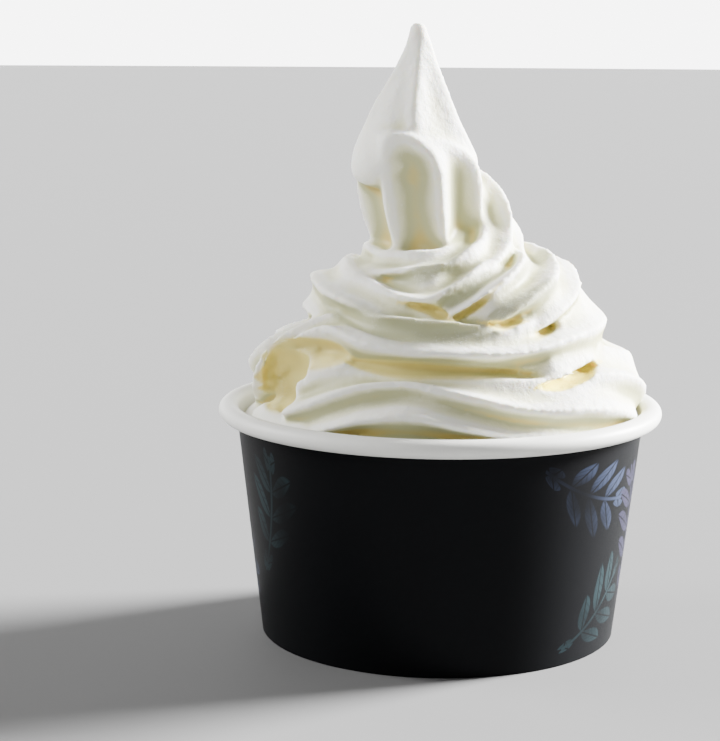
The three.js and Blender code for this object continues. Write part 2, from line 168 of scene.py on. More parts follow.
# Stations of the three shapes of the spire: height, middle x, middle y, radius, flute depth.
SPIRE_POINTS = 140
SPIRE_LEVELS = 90
SPIRE_SOFTNESS = 0.14
COLUMN_FLUTES = 7
COLUMN_CREST = 288.0
COLUMN_STATIONS = np.array([
    [74.0, -3.0, 0, 11.0, 0.24],
    [82.0, -3.0, 0, 11.8, 0.3],
    [86.0, -3.5, 0, 12.7, 0.32],
    [90.0, -4.0, 0, 13.3, 0.32],
    [95.0, -4.4, -0.2, 13.4, 0.3],
    [98.5, -5.0, -1.0, 12.8, 0.24],
    [101.0, -6.0, -2.6, 11.2, 0.18],
    [103.0, -7.4, -5.0, 8.2, 0.12],
    [104.2, -8.5, -7.6, 4.8, 0.06],
    [104.8, -9.2, -9.0, 2.0, 0],
])
CONE_FLUTES = 5
CONE_CREST = 272.0
CONE_STATIONS = np.array([
    [84.0, -3.0, 3.0, 8.0, 0],
    [94.0, -3.2, 2.2, 9.8, 0],
    [98.4, -4.1, 1.5, 11.6, 0.05],
    [103.0, -5.6, 0.6, 11.3, 0.16],
    [106.0, -6.1, 0, 10.3, 0.24],
    [109.5, -6.1, 0, 8.8, 0.28],
    [115.7, -5.5, 0, 5.6, 0.26],
    [121.7, -5.1, 0, 2.9, 0.14],
    [124.5, -5.2, 0, 1.9, 0],
    [126.1, -5.3, 0, 1.3, 0],
    [126.3, -5.3, 0, 0.8, 0],
])
LIP_STATIONS = np.array([
    [93.2, -11.4, -4.6, 2.5, 0],
    [94.0, -11.3, -4.3, 5.4, 0],
    [96.0, -10.8, -3.6, 7.6, 0],
    [99.5, -9.6, -2.6, 8.8, 0],
    [103.0, -8.6, -1.4, 8.7, 0],
    [106.5, -7.7, -0.8, 7.9, 0],
    [110.0, -7.2, -0.4, 6.6, 0],
    [114.0, -6.8, -0.2, 4.7, 0],
    [117.0, -6.2, 0, 2.5, 0],
])

# Low fold of the swirl under the arch on the left, given like the hollows.
FOLD = np.array([
    [-38.0, -12.0, 46.5, 1.5, 3.0],
    [-35.0, -15.0, 46.5, 3.6, 6.0],
    [-31.0, -19.0, 46.2, 3.8, 7.0],
    [-27.0, -25.0, 45.5, 3.8, 6.0],
    [-24.0, -28.0, 45.0, 2.0, 4.0],
])

# Hollows pressed in between the layers: x, y, z, half height, depth either way along Y.
# The grooves and pockets are pressed in before the rope's blunt start is laid over them.
GROOVES = [np.array(stations) for stations in (
    # broad groove along the front of the second turn
    [
        [-21.3, -19.5, 69.4, 0.4, 2.2],
        [-17.7, -23.5, 68.8, 1.4, 2.4],
        [-13.6, -29.5, 68.5, 1.9, 2.4],
        [-7.7, -33.0, 67.9, 2.2, 2.6],
        [-2.0, -34.0, 67.8, 2.0, 2.6],
        [3.7, -33.8, 67.9, 1.5, 2.4],
        [7.6, -33.0, 68.0, 1.0, 2.2],
        [10.9, -31.0, 68.1, 0.3, 2.0],
    ],
)]
POCKETS = [np.array(stations) for stations in (
    # deep pocket inside the arch on the left
    [
        [-35.9, -14.0, 55.0, 1.8, 6.0],
        [-35.0, -15.5, 55.3, 4.3, 8.0],
        [-33.8, -17.0, 55.8, 5.5, 9.0],
        [-32.7, -18.5, 56.0, 6.3, 9.0],
        [-31.2, -19.5, 56.0, 6.9, 9.5],
        [-29.6, -20.5, 56.0, 6.6, 9.5],
        [-27.7, -21.5, 56.0, 6.2, 9.0],
        [-26.0, -22.5, 56.2, 5.2, 8.0],
    ],
    # its floor
    [
        [-36.3, -12.0, 52.0, 0.8, 4.0],
        [-35.3, -14.0, 52.2, 2.1, 7.0],
        [-34.0, -17.0, 52.4, 2.8, 9.0],
        [-32.1, -21.0, 52.8, 2.8, 10.0],
        [-29.9, -24.0, 53.2, 2.8, 10.0],
        [-27.4, -26.0, 53.8, 2.2, 9.0],
    ],
)]
HOLLOWS = [np.array(stations) for stations in (
    # the pocket's horn, tapering along the crevice
    [
        [-34.4, -18.0, 59.8, 1.6, 6.0],
        [-32.1, -20.5, 61.0, 2.2, 8.0],
        [-29.6, -22.5, 61.6, 2.5, 8.5],
        [-27.5, -24.0, 61.8, 2.8, 9.0],
        [-25.1, -25.5, 61.9, 2.8, 8.5],
        [-22.2, -28.0, 62.2, 2.5, 8.0],
        [-19.6, -29.5, 62.3, 1.8, 6.5],
        [-17.0, -30.5, 61.6, 0.4, 3.5],
    ],
    # crevice between the first two turns at the front
    [
        [-18.7, -27.5, 61.1, 0.3, 2.0],
        [-15.1, -29.5, 60.5, 1.0, 3.0],
        [-10.6, -31.5, 60.1, 1.5, 3.4],
        [-5.7, -32.8, 60.0, 1.6, 3.6],
        [0.0, -33.2, 59.9, 1.4, 3.4],
        [7.7, -32.8, 59.7, 1.1, 3.2],
        [15.5, -30.0, 59.2, 0.8, 3.0],
        [20.5, -29.8, 58.7, 0.3, 2.0],
    ],
    # slit between them on the right
    [
        [19.2, -33.0, 57.0, 0.4, 5.0],
        [21.2, -31.0, 57.0, 0.8, 7.0],
        [23.7, -28.5, 57.2, 1.1, 7.5],
        [27.9, -23.5, 58.2, 1.2, 7.5],
        [29.6, -21.0, 58.7, 1.1, 7.0],
        [31.6, -18.0, 59.5, 0.4, 5.0],
    ],
    # pits along the foot of the third turn, where its flutes spread
    [
        [-7.3, -27.0, 72.3, 0.3, 2.5],
        [-4.8, -27.0, 71.7, 0.8, 3.2],
        [-2.4, -27.5, 71.2, 1.0, 3.2],
        [-0.3, -28.0, 70.5, 1.1, 3.2],
        [2.4, -29.0, 69.5, 0.4, 2.5],
    ],
    [
        [1.4, -29.0, 69.5, 0.3, 3.0],
        [3.4, -29.0, 70.1, 0.8, 3.5],
        [7.2, -28.8, 72.2, 1.0, 3.5],
        [8.9, -28.4, 73.5, 0.9, 3.5],
        [11.4, -27.5, 76.3, 0.3, 3.0],
    ],
    [
        [8.2, -30.0, 69.1, 0.3, 3.0],
        [10.1, -29.5, 68.7, 0.7, 3.6],
        [12.5, -28.5, 68.5, 0.9, 4.0],
        [15.6, -26.5, 69.0, 0.4, 3.0],
    ],
    [
        [17.4, -27.5, 66.0, 0.3, 3.0],
        [19.2, -25.0, 66.2, 0.8, 3.6],
        [22.3, -21.5, 67.2, 0.9, 3.6],
        [23.9, -20.0, 68.2, 0.4, 3.0],
    ],
)]

# Stretches along the front of the folds with painted olive shade, given like the hollows.
SHADES = [np.array(stations) for stations in (
    # groove along the second turn
    [
        [-23.2, -14.4, 71.1, 1.0, 3.0],
        [-19.9, -18.9, 69.8, 1.8, 3.0],
        [-15.7, -24.4, 68.4, 2.2, 3.0],
        [-11.7, -28.7, 67.8, 2.3, 3.0],
        [-5.8, -31.0, 67.5, 2.3, 3.0],
        [-0.1, -31.6, 67.4, 2.3, 3.0],
        [6.6, -31.5, 67.7, 1.7, 3.0],
        [11.5, -28.6, 67.7, 0.8, 3.0],
    ],
    # under the crest of the third turn
    [
        [-9.1, -17.2, 75.4, 0.6, 3.0],
        [-6.1, -19.6, 76.4, 1.2, 3.0],
        [-3.2, -20.6, 77.7, 1.6, 3.0],
        [-0.2, -20.4, 79.3, 1.8, 3.0],
        [2.7, -15.8, 80.4, 1.8, 3.0],
        [5.7, -11.6, 82.2, 1.0, 3.0],
    ],
    # between its climbing flutes
    [
        [-0.1, -26.9, 72.6, 0.6, 3.0],
        [2.2, -25.9, 73.5, 1.6, 3.0],
        [4.7, -24.8, 74.6, 1.8, 3.0],
        [7.2, -23.4, 75.8, 1.4, 3.0],
        [9.6, -20.8, 77.3, 0.6, 3.0],
    ],
    [
        [9.5, -29.4, 69.9, 0.6, 3.0],
        [12.4, -29.4, 71.1, 1.4, 3.0],
        [15.3, -28.2, 72.6, 1.6, 3.0],
        [19.2, -25.4, 74.4, 1.6, 3.0],
        [22.4, -20.3, 75.6, 0.8, 3.0],
    ],
    [
        [15.0, -22.6, 77.1, 0.6, 3.0],
        [17.2, -16.3, 78.2, 1.4, 3.0],
        [19.5, -5.3, 78.7, 1.4, 3.0],
        [21.3, -5.4, 79.7, 0.8, 3.0],
    ],
)]

# Filling below the rope and the solid middle of the swirl: radius and height.
FILLING_PROFILE = np.array([
    [38.5, BASE_TOP + GAP],
    [41.5, 44.5],
    [40.0, 46.4],
    [36.0, 47.4],
    [33.0, 52],
    [33.0, 60],
    [27.0, 66],
    [20.0, 72],
    [14.0, 76],
    [8.0, 84],
])

# Depths of the swirl's hollows are found against copies of it smoothed this many times, in these units.
FINE_PASSES = 24
BROAD_PASSES = 220
HOLLOW_FINE = 0.5
HOLLOW_BROAD = 2.6

# The painted amber glow of the hollows and the painted olive shade fade out past their ovals over these
# shares of the oval, and past their ends at this rate per millimetre. The pockets' painted glow ends at an
# azimuth, in degrees.
GLOW_FADE = 0.25
SHADE_FADE = 0.9
END_FADE = 2.0
POCKET_AZIMUTH = 215.5
POCKET_FADE = 3.0
# How strongly each has painted amber glow and shade, at its left end and its right end; above 1 the painted
# glow turns golden.
POCKET_GLOWS = ((0.95, 0.9), (0.95, 0.9))
HOLLOW_GLOWS = ((0.8, 0.85), (0.95, 0.2), (2.0, 1.2), (0.9, 0.9), (0.8, 0.6), (0.8, 0.9), (0.4, 0.2))

# Printed sprigs, in millimetres: leaves in pairs along a bent stem, with midribs and veins. The pairs of
# numbers say where each soft edge starts and ends.
PRINT_RADIUS = 40.0
LEAF_SPACING = 5.6
LEAF_LENGTH = 8.4
LEAF_HALF_WIDTH = 2.3
LEAF_SLANT = 0.75
STEM_BEND = 0.012
VEIN_RATE = 4.5
VEIN_SHADE = 0.65

LEAF_EDGE = (0.0, 0.35)
MIDRIB_EDGE = (0.08, 0.3)
VEIN_EDGE = (-0.9, -0.4)
STEM_EDGE = (0.2, 0.45)
SMALLEST_TAPER = 0.01

# Yogurt: how the painted shade follows the hollows and how far the surface faces down, and where each colour
# sets in.
FINE_SHARE = 0.5
BROAD_SHARE = 0.7
DRIFT_SHARE = 0.3
FACING_SHARE = 0.5
SIDE_RANGE = (-0.4, 0.0)
GROOVE_RANGE = (-0.1, 0.35)
DEEP_RANGE = (0.4, 0.95)
EXPOSED_RANGE = (-0.3, 0.5)
OLIVE_SHADE_SHARE = 0.85
FROST_SHARE = 0.55
FACING_RANGE = (-0.45, 0.5)
RIPPLE_RANGE = (0.35, 0.65)
CRYSTAL_RANGE = (0.5, 0.72)
GRAIN_OF_FROST = (0.8, 0.12)
RIPPLE_HEIGHT = 0.5
YOGURT_SPECULAR = 0.3
SUBSURFACE_WEIGHT = 0.45
SUBSURFACE_RADIUS = (1.0, 0.85, 0.55)
SUBSURFACE_SCALE = 0.0011

# Paper and floor.
MOTTLE_TONE = (0.16, 0.92)
FIBRE_TONE = 0.05
FADING_RANGE = (0.35, 0.75)
PRINT_SPECULAR = 0.05
BOARD_SPECULAR = 0.4
FLOOR_SPECULAR = 0.1
FLOOR_ROUGHNESS = 0.8
FLOOR_FEATURES = 3.0
FLOOR_TONE = (0.02, 0.99)

# Noises: features per millimetre, detail, roughness.
FIBRES = (2.2, 4.0, 0.65)
MOTTLE = (0.12, 3.0)
FADING = (0.06, 2.0)
DRIFT = (0.11, 2.0)
CRYSTALS = (2.4, 4.0, 0.7)
RIPPLES = (0.55, 3.0)

# Roughness: how much the texture adds, and its least.
PRINT_ROUGHNESS = (0.12, 0.42)
BOARD_ROUGHNESS = (0.1, 0.4)
YOGURT_ROUGHNESS = (0.18, 0.42)

# Relief by bump: strength, and distance in metres.
PRINT_BUMP = (0.12, 0.00005)
BOARD_BUMP = (0.1, 0.00004)
YOGURT_BUMP = (0.55, 0.0003)

# Colours, as linear red, green, blue and alpha.
BLACK_INK = (0.0035, 0.0038, 0.0045, 1)
DUSK_BLUE = (0.030, 0.040, 0.075, 1)
DUSK_TEAL = (0.014, 0.026, 0.030, 1)
DUSK_PLUM = (0.028, 0.026, 0.050, 1)
WHITE_BOARD = (0.80, 0.80, 0.76, 1)
# Yogurt: the crest colour is the cream itself; side, groove and deep are painted shade, deep also a painted
# glow; olive is painted shade; amber and gold are painted glow.
YOGURT_CREST = (0.93, 0.92, 0.84, 1)
YOGURT_SIDE_SHADE = (0.80, 0.79, 0.57, 1)
YOGURT_GROOVE_SHADE = (0.50, 0.50, 0.28, 1)
YOGURT_DEEP_SHADE_GLOW = (0.64, 0.52, 0.18, 1)
YOGURT_OLIVE_SHADE = (0.45, 0.46, 0.29, 1)
YOGURT_AMBER_GLOW = (0.86, 0.76, 0.30, 1)
YOGURT_GOLD_GLOW = (0.92, 0.82, 0.10, 1)
FROST = (0.96, 0.96, 0.95, 1)
FLOOR_WHITE = (0.17, 0.17, 0.17, 1)

# Printed sprigs: azimuth, height, turn, half length, tint.
SPRIGS = [
    (-146, 28, 75, 13, DUSK_TEAL),
    (-178, 12, 35, 12, DUSK_BLUE),
    (-44, 35, -20, 13, DUSK_BLUE),
    (-33, 9, 35, 12, DUSK_TEAL),
    (-12, 24, 100, 15, DUSK_PLUM),
    (22, 14, 150, 13, DUSK_PLUM),
    (50, 34, 20, 13, DUSK_TEAL),
    (92, 16, 55, 14, DUSK_BLUE),
    (128, 33, 130, 13, DUSK_PLUM),
    (150, 12, 165, 11, DUSK_BLUE),
]

# Stage, in metres, but its floor's rings in millimetres. Suns: name, direction, strength, spread.
# Spot: name, place, target, power, size, cone.
KEY_LIGHT = ("key", (0.88, 0.42, 0.4), 46.0, 20)
SIDE_LIGHT = ("side", (-0.88, 0.2, 0.45), 4.0, 30)
TOP_LIGHT = ("top_light", (-0.35, -0.45, 0.42), (-0.01, 0, 0.108), 9.0, 0.06, 18)
FILL_STRENGTH = 0.3
BACKDROP_STRENGTH = 7.0
BACKDROP_WIDTH = (0.55, 0.9)
BACKDROP_HEIGHT = (0.15, 0.5)
FLOOR_SEGMENTS = 96
FLOOR_RINGS = (1.0, 300.0, 9000.0)
CAMERA_PLACE = (0, -0.41303577, 0.12260094)
CAMERA_RIGHT = (0.99912771, 0.04130578, 0.0061353)
CAMERA_UP = (-0.01276101, 0.16211402, 0.98668952)
CAMERA_LENS = 97.4656
CAMERA_SENSOR = 36
CAMERA_NEAREST = 0.01


def between(stations, positions):
    """Smooth values between stations: a cubic through them, its slope at each taken from its neighbours."""
    at, values = stations[:, 0], stations[:, 1:]
    slopes = np.gradient(values, axis=0)
    slopes[1:-1] = (values[2:] - values[:-2]) / (at[2:] - at[:-2])[:, None]
    slopes[0] = (values[1] - values[0]) / (at[1] - at[0])
    slopes[-1] = (values[-1] - values[-2]) / (at[-1] - at[-2])
    i = np.clip(np.searchsorted(at, positions) - 1, 0, len(at) - 2)
    step = (at[i + 1] - at[i])[:, None]
    t = ((positions - at[i])[:, None]) / step
    near = (2 * t**3 - 3 * t**2 + 1) * values[i] + (t**3 - 2 * t**2 + t) * step * slopes[i]
    far = (3 * t**2 - 2 * t**3) * values[i + 1] + (t**3 - t**2) * step * slopes[i + 1]
    return near + far


def flute(angle, flutes, depth, softness):
    """Radius factor of a fluted section: 1 on each narrow crest, less in the wide grooves between."""
    wave = np.hypot(np.sin(flutes * angle / 2), softness)
    return 1 - depth * (wave - softness)


def rounded_end(angle, radius, rounding):
    """Size factor of a section near an end that is rounded like a dome of the given length."""
    along = np.minimum(np.radians(angle) * radius / rounding, 1)
    return np.sqrt(1 - (1 - along) ** 2)


def waves(along, around, parts):
    """1 and the sum of sines, each with its share, over the way along the rope and round its section."""
    total = 1
    for share, rate, turns, phase in parts:
        total = total + share * np.sin(rate * along + turns * around + phase)
    return total


def rope_points(last=ROPE_STATIONS[-1, 0]):
    """Fluted oval of half width w and half height h, flutes turned by the twist, in the upright plane of
    each azimuth, its middle at crest radius - w. The blunt start is set back above its foot. Along the
    front of the second turn one crest is sunk into a trough. The last turn leans in as it rises."""
    azimuth = np.arange(ROPE_STATIONS[0, 0], last + ROPE_STEP / 2, ROPE_STEP)
    crest, height, half_width, half_height, twist, depth = between(ROPE_STATIONS, azimuth).T[:, :, None]
    radius = crest - half_width
    start = rounded_end(azimuth - azimuth[0], radius[:, 0], START_ROUNDING)
    end = rounded_end(ROPE_STATIONS[-1, 0] - azimuth, radius[:, 0], END_ROUNDING)
    size = np.maximum(start * end, SMALLEST_END)[:, None]
    angle = np.linspace(0, TURN, ROPE_POINTS, endpoint=False)[None, :]
    turned = angle - np.radians(twist)
    along = np.radians(azimuth)[:, None]
    uneven = waves(along, angle, SIZE_WAVES)
    deep = depth * waves(along, turned, DEPTH_WAVES)
    fade = np.clip(np.minimum(azimuth - TROUGH_START, TROUGH_END - azimuth) / TROUGH_FADE, 0, 1)[:, None]
    from_trough = np.degrees(np.angle(np.exp(1j * turned))) / TROUGH_HALF_WIDTH
    trough = TROUGH_DEPTH * fade * np.exp(-from_trough**2)
    reach = size * uneven * (flute(turned, ROPE_FLUTES, deep, CREST_SOFTNESS) - trough)
    inner_width = np.minimum(half_width, radius - AXIS_CLEARANCE)
    width = np.where(np.cos(angle) > 0, half_width, inner_width)
    rise = half_height * reach * np.sin(angle)
    lean = LEAN * np.clip((azimuth - LEAN_START) / LEAN_LENGTH, 0, 1)[:, None]
    out = np.maximum(radius + width * reach * np.cos(angle) - lean * rise, AXIS_CLEARANCE)
    near_start = np.clip(1 - (azimuth - azimuth[0]) / SETBACK_LENGTH, 0, 1)[:, None]
    raised = np.clip((rise - SETBACK_LOW) / (SETBACK_HIGH - SETBACK_LOW), 0, 1)
    along = along + np.radians(START_SETBACK) * near_start * raised**2 * (3 - 2 * raised)
    return np.stack([out * np.cos(along), out * np.sin(along), height + rise], axis=-1)[:, ::-1]


def hollow_points(stations):
    """Upright oval sections across X, from one end of the hollow to the other."""
    x = np.linspace(stations[0, 0], stations[-1, 0], HOLLOW_POINTS)
    y, height, half_height, depth = between(stations, x).T[:, :, None]
    angle = np.linspace(0, TURN, HOLLOW_POINTS, endpoint=False)[None, :]
    ahead, up = y + depth * np.cos(angle), height + half_height * np.sin(angle)
    return np.stack([x[:, None] + 0 * angle, ahead, up], axis=-1)


def fluted_points(stations, flutes, crest):
    """Level rings with narrow crests round a middle and radius that change smoothly with height."""
    height = np.linspace(stations[0, 0], stations[-1, 0], SPIRE_LEVELS)
    x, y, radius, depth = between(stations, height).T[:, :, None]
    angle = np.linspace(0, TURN, SPIRE_POINTS, endpoint=False)[None, :]
    reach = radius * flute(angle - np.radians(crest), flutes, depth, SPIRE_SOFTNESS)
    across, ahead = x + reach * np.cos(angle), y + reach * np.sin(angle)
    return np.stack([across, ahead, height[:, None] + 0 * reach], axis=-1)


def revolved_points(profile, segments):
    """Rings of a profile of radius and height turned about the Z axis."""
    angle = np.linspace(0, TURN, segments, endpoint=False)[None, :]
    radius, height = profile[:, :1], profile[:, 1:]
    return np.stack([radius * np.cos(angle), radius * np.sin(angle), height + 0 * angle], axis=-1)


def grid_faces(rows, columns, close_rows=False):
    """Quads of a grid whose columns close on themselves; its rows close too when asked."""
    row = np.arange(rows if close_rows else rows - 1)[:, None]
    column = np.arange(columns)[None, :]
    here, beside = row * columns + column, row * columns + (column + 1) % columns
    above, above_beside = (here + columns) % (rows * columns), (beside + columns) % (rows * columns)
    return np.stack([here, beside, above_beside, above], axis=-1).reshape(-1, 4).tolist()


def add_object(name, points, faces):
    """Object at the origin with a mesh of millimetre points turned into metres."""
    mesh = bpy.data.meshes.new(name)
    mesh.from_pydata((np.reshape(points, (-1, 3)) * MM).tolist(), [], faces)
    mesh.polygons.foreach_set("use_smooth", [True] * len(mesh.polygons))
    mesh.update()
    thing = bpy.data.objects.new(name, mesh)
    bpy.context.collection.objects.link(thing)
    return thing


def add_solids(name, grids):
    """One mesh of closed tubes: every grid is rings in order, and its two end rings are filled."""
    points, faces, first = [], [], 0
    for grid in grids:
        rows, columns = grid.shape[:2]
        ends = [list(range(columns))[::-1], list(range((rows - 1) * columns, rows * columns))]
        faces += [[first + i for i in face] for face in grid_faces(rows, columns) + ends]
        points.append(grid.reshape(-1, 3))
        first += rows * columns
    return add_object(name, np.concatenate(points), faces)


def apply_modifiers(thing):
    """Replace the object's mesh by what its modifiers make of it."""
    shown = thing.evaluated_get(bpy.context.evaluated_depsgraph_get())
    thing.data = bpy.data.meshes.new_from_object(shown)
    thing.modifiers.clear()


def add_boolean(thing, operation, other):
    """Cut or trim one closed mesh with another."""
    modifier = thing.modifiers.new("boolean", "BOOLEAN")
    modifier.operation = operation
    modifier.solver = "MANIFOLD"
    modifier.object = other


def add_remesh(thing):
    """Melt what the mesh holds into one even skin."""
    modifier = thing.modifiers.new("melt", "REMESH")
    modifier.mode = "VOXEL"
    modifier.voxel_size = VOXEL * MM
    modifier.use_smooth_shade = True


def add_attribute(mesh, name, values):
    """Keep one value for each point, for a material to read."""
    mesh.attributes.new(name, "FLOAT", "POINT").data.foreach_set("value", values)


def wall_radius(height):
    """Outer radius of the cup's wall."""
    return FOOT_RADIUS + WALL_SLOPE * height


def roll_points(angle, margin=0.0):
    """Outline of the rolled rim at these angles in degrees, grown or shrunk by a margin."""
    half_width = (RIM_RADIUS - wall_radius(ROLL_HEIGHT) + PAPER) / 2
    out = RIM_RADIUS - half_width + (half_width + margin) * np.cos(np.radians(angle))
    up = ROLL_HEIGHT + (ROLL_HALF_HEIGHT + margin) * np.sin(np.radians(angle))
    return np.stack([out, up], axis=-1)


def room_profile():
    """Space that the yogurt may fill: inside the wall, over the roll and above it."""
    floor = BASE_TOP + TOUCH
    inside = [[wall_radius(floor) - PAPER - TOUCH, floor]]
    roll = roll_points(np.linspace(180, 90, ROLL_ROOM_POINTS), TOUCH)
    above = [[RIM_RADIUS - TOUCH, height] for height in (CUP_HEIGHT + TOUCH, 2 * CUP_HEIGHT, ROOM_TOP)]
    return np.concatenate([inside, roll, above])


def mesh_points(mesh):
    """Points of a mesh, in millimetres."""
    points = np.empty(len(mesh.vertices) * 3)
    mesh.vertices.foreach_get("co", points)
    return points.reshape(-1, 3) / MM


def hollows(mesh, passes):
    """How far each point lies below the surface smoothed this many times, along its normal, in mm."""
    points = mesh_points(mesh)
    edges = np.empty(len(mesh.edges) * 2, dtype=np.int64)
    mesh.edges.foreach_get("vertices", edges)
    one, other = edges.reshape(-1, 2).T
    ends, starts = np.concatenate([one, other]), np.concatenate([other, one])
    count = np.maximum(np.bincount(ends, minlength=len(points)), 1)
    smoothed = points.copy()
    for _ in range(passes):
        sums = [np.bincount(ends, smoothed[starts, axis], len(points)) for axis in range(3)]
        smoothed = 0.5 * smoothed + 0.5 * np.stack(sums, axis=-1) / count[:, None]
    normals = np.empty(len(points) * 3)
    mesh.vertices.foreach_get("normal", normals)
    return np.einsum("ij,ij->i", smoothed - points, normals.reshape(-1, 3))


def inside_ovals(mesh, stations, fade):
    """1 within upright ovals across X, falling evenly to 0 over a share of their size outside them, and
    less by a set amount for each millimetre beyond the first or last oval."""
    x, y, z = mesh_points(mesh).T
    first, last = stations[0, 0], stations[-1, 0]
    middle_y, middle_z, half_height, depth = between(stations, np.clip(x, first, last)).T
    beyond = np.maximum(np.maximum(first - x, x - last), 0)
    reach = np.hypot((y - middle_y) / depth, (z - middle_z) / half_height)
    return np.clip((1 + fade - reach) / fade - END_FADE * beyond, 0, 1)


def painted_glow_in_hollow(mesh, stations, glow_strengths):
    """Painted amber glow and shade in one hollow cut into the swirl, changing evenly from its left end to its
    right end.
    """
    along = np.interp(mesh_points(mesh)[:, 0], stations[[0, -1], 0], glow_strengths)
    return along * inside_ovals(mesh, stations, GLOW_FADE)


def painted_hollow_glow(mesh):
    """How strongly the painted amber glow and shade lie on the skin: the strongest of the hollows, the
    pockets' ending where the rope starts.
    """
    x, y, _ = mesh_points(mesh).T
    before_rope = np.clip((POCKET_AZIMUTH - np.degrees(np.arctan2(y, x)) % 360) / POCKET_FADE, 0, 1)
    pockets = [before_rope * painted_glow_in_hollow(mesh, *each) for each in zip(POCKETS, POCKET_GLOWS)]
    others = [painted_glow_in_hollow(mesh, *each) for each in zip(HOLLOWS, HOLLOW_GLOWS)]
    return np.max(pockets + others, axis=0)


def shaded(mesh):
    """1 along the stretches of the folds with the painted shade, fading out softly."""
    return np.max([inside_ovals(mesh, stations, SHADE_FADE) for stations in SHADES], axis=0)


def make_yogurt():
    """Filling, rope, column, cone and lip melted into one skin and trimmed to the cup."""
    yogurt = add_solids("yogurt_swirl", [
        revolved_points(FILLING_PROFILE, FILLING_SEGMENTS),
        rope_points(),
        hollow_points(FOLD),
        fluted_points(COLUMN_STATIONS, COLUMN_FLUTES, COLUMN_CREST),
        fluted_points(CONE_STATIONS, CONE_FLUTES, CONE_CREST),
        fluted_points(LIP_STATIONS, CONE_FLUTES, CONE_CREST),
    ])
    add_remesh(yogurt)
    changes = [("DIFFERENCE", hollow_points(stations)) for stations in GROOVES + POCKETS]
    changes.append(("UNION", rope_points(START_PIECE_END)))
    changes += [("DIFFERENCE", hollow_points(stations)) for stations in HOLLOWS]
    cutters = []
    for operation, grid in changes:
        cutters.append(add_solids("cutter_%d" % len(cutters), [grid]))
        add_boolean(yogurt, operation, cutters[-1])
    add_remesh(yogurt)
    smooth = yogurt.modifiers.new("soften", "SMOOTH")
    smooth.factor = SMOOTHING_FACTOR
    smooth.iterations = SMOOTHING_PASSES
    cutters.append(add_solids("room", [revolved_points(room_profile(), CUP_SEGMENTS)]))
    add_boolean(yogurt, "INTERSECT", cutters[-1])
    apply_modifiers(yogurt)
    for cutter in cutters:
        bpy.data.objects.remove(cutter)
    mesh = yogurt.data
    # These hollow depths and the two values after them steer the yogurt's painted shade and painted glow.
    add_attribute(mesh, "fine_hollow", hollows(mesh, FINE_PASSES) / HOLLOW_FINE)
    add_attribute(mesh, "broad_hollow", hollows(mesh, BROAD_PASSES) / HOLLOW_BROAD)
    add_attribute(mesh, "painted_hollow_glow", painted_hollow_glow(mesh))
    add_attribute(mesh, "shaded", shaded(mesh))
    return yogurt


def seam_bulge(azimuth, height):
    """Height of the glued side seam: a strip of doubled paper with soft edges down the outside."""
    across = np.abs(np.degrees(azimuth) - SEAM_AZIMUTH)
    strip = 1 / (1 + np.exp(np.minimum((across - SEAM_HALF_WIDTH) / SEAM_EDGE, LARGEST_POWER)))
    below_roll = np.clip((ROLL_HEIGHT - SEAM_FADE - height) / SEAM_FADE, 0, 1)
    return SEAM_HEIGHT * strip * below_roll


def make_wall():
    """Closed section turned about Z: outside, rolled rim, inside and folded hem. The seam lifts the
    outside. The second result tells which faces are the printed outside."""
    hem = 2 * PAPER + 2 * GAP
    levels = np.linspace(FIRST_LEVEL, ROLL_HEIGHT, OUTSIDE_LEVELS)
    outside_height = np.concatenate([[0.0, FOOT_ROUNDING], levels])
    inset = np.where(outside_height < FOOT_ROUNDING, FOOT_ROUNDING, 0.0)
    outside = np.stack([wall_radius(outside_height) - inset, outside_height], axis=-1)
    roll_inside = roll_points(np.linspace(180, ROLL_END, ROLL_INSIDE_POINTS)[1:], -PAPER)
    roll_outside = roll_points(np.linspace(ROLL_END, 180, ROLL_OUTSIDE_POINTS))
    inside_height = np.linspace(ROLL_HEIGHT, PAPER, INSIDE_LEVELS)[1:]
    inside = np.stack([wall_radius(inside_height) - PAPER, inside_height], axis=-1)
    slot = np.array([[wall_radius(PAPER) - hem, PAPER]])
    fold = np.array([
        [wall_radius(HEM_TOP) - hem, HEM_TOP],
        [wall_radius(HEM_TOP) - hem - PAPER, HEM_TOP],
        [wall_radius(0) - hem - PAPER + HEM_ROUNDING, 0.0],
    ])
    profile = np.concatenate([outside, roll_inside, roll_outside, inside, slot, fold])
    points = revolved_points(profile, CUP_SEGMENTS)
    azimuth = np.linspace(0, TURN, CUP_SEGMENTS, endpoint=False)[None, :]
    lift = 1 + seam_bulge(azimuth, outside[:, 1:]) / outside[:, :1]
    points[: len(outside), :, :2] *= lift[:, :, None]
    wall = add_object("cup_shell", points[:, ::-1], grid_faces(len(profile), CUP_SEGMENTS, close_rows=True))
    row = np.arange(len(wall.data.polygons)) // CUP_SEGMENTS
    return wall, row < len(outside)


def make_base():
    """Recessed bottom disc, slightly domed, with a skirt turned down into the hem."""
    def skirt(height, inset):
        return [wall_radius(height) - PAPER - GAP - inset, height]

    radius = np.linspace(DISC_HOLE, skirt(BASE_TOP - PAPER, PAPER)[0] - DISC_MARGIN, DISC_POINTS)
    dome = DOME_HEIGHT * np.cos(radius / radius[-1] * np.pi / 2)
    under = np.stack([radius, BASE_TOP - PAPER - dome], axis=-1)
    over = np.stack([radius, BASE_TOP - dome], axis=-1)[::-1]
    rim = np.array([
        skirt(BASE_TOP - PAPER, PAPER),
        skirt(PAPER + GAP, PAPER),
        skirt(PAPER + GAP, 0),
        skirt(BASE_TOP, 0),
    ])
    profile = np.concatenate([under, rim, over])
    return add_solids("cup_bottom", [revolved_points(profile, CUP_SEGMENTS)])


# Materials.

def link(tree, source, target):
    """Feed a socket from another socket, or set it to a plain value."""
    if isinstance(source, bpy.types.NodeSocket):
        tree.links.new(source, target)
    else:
        target.default_value = source


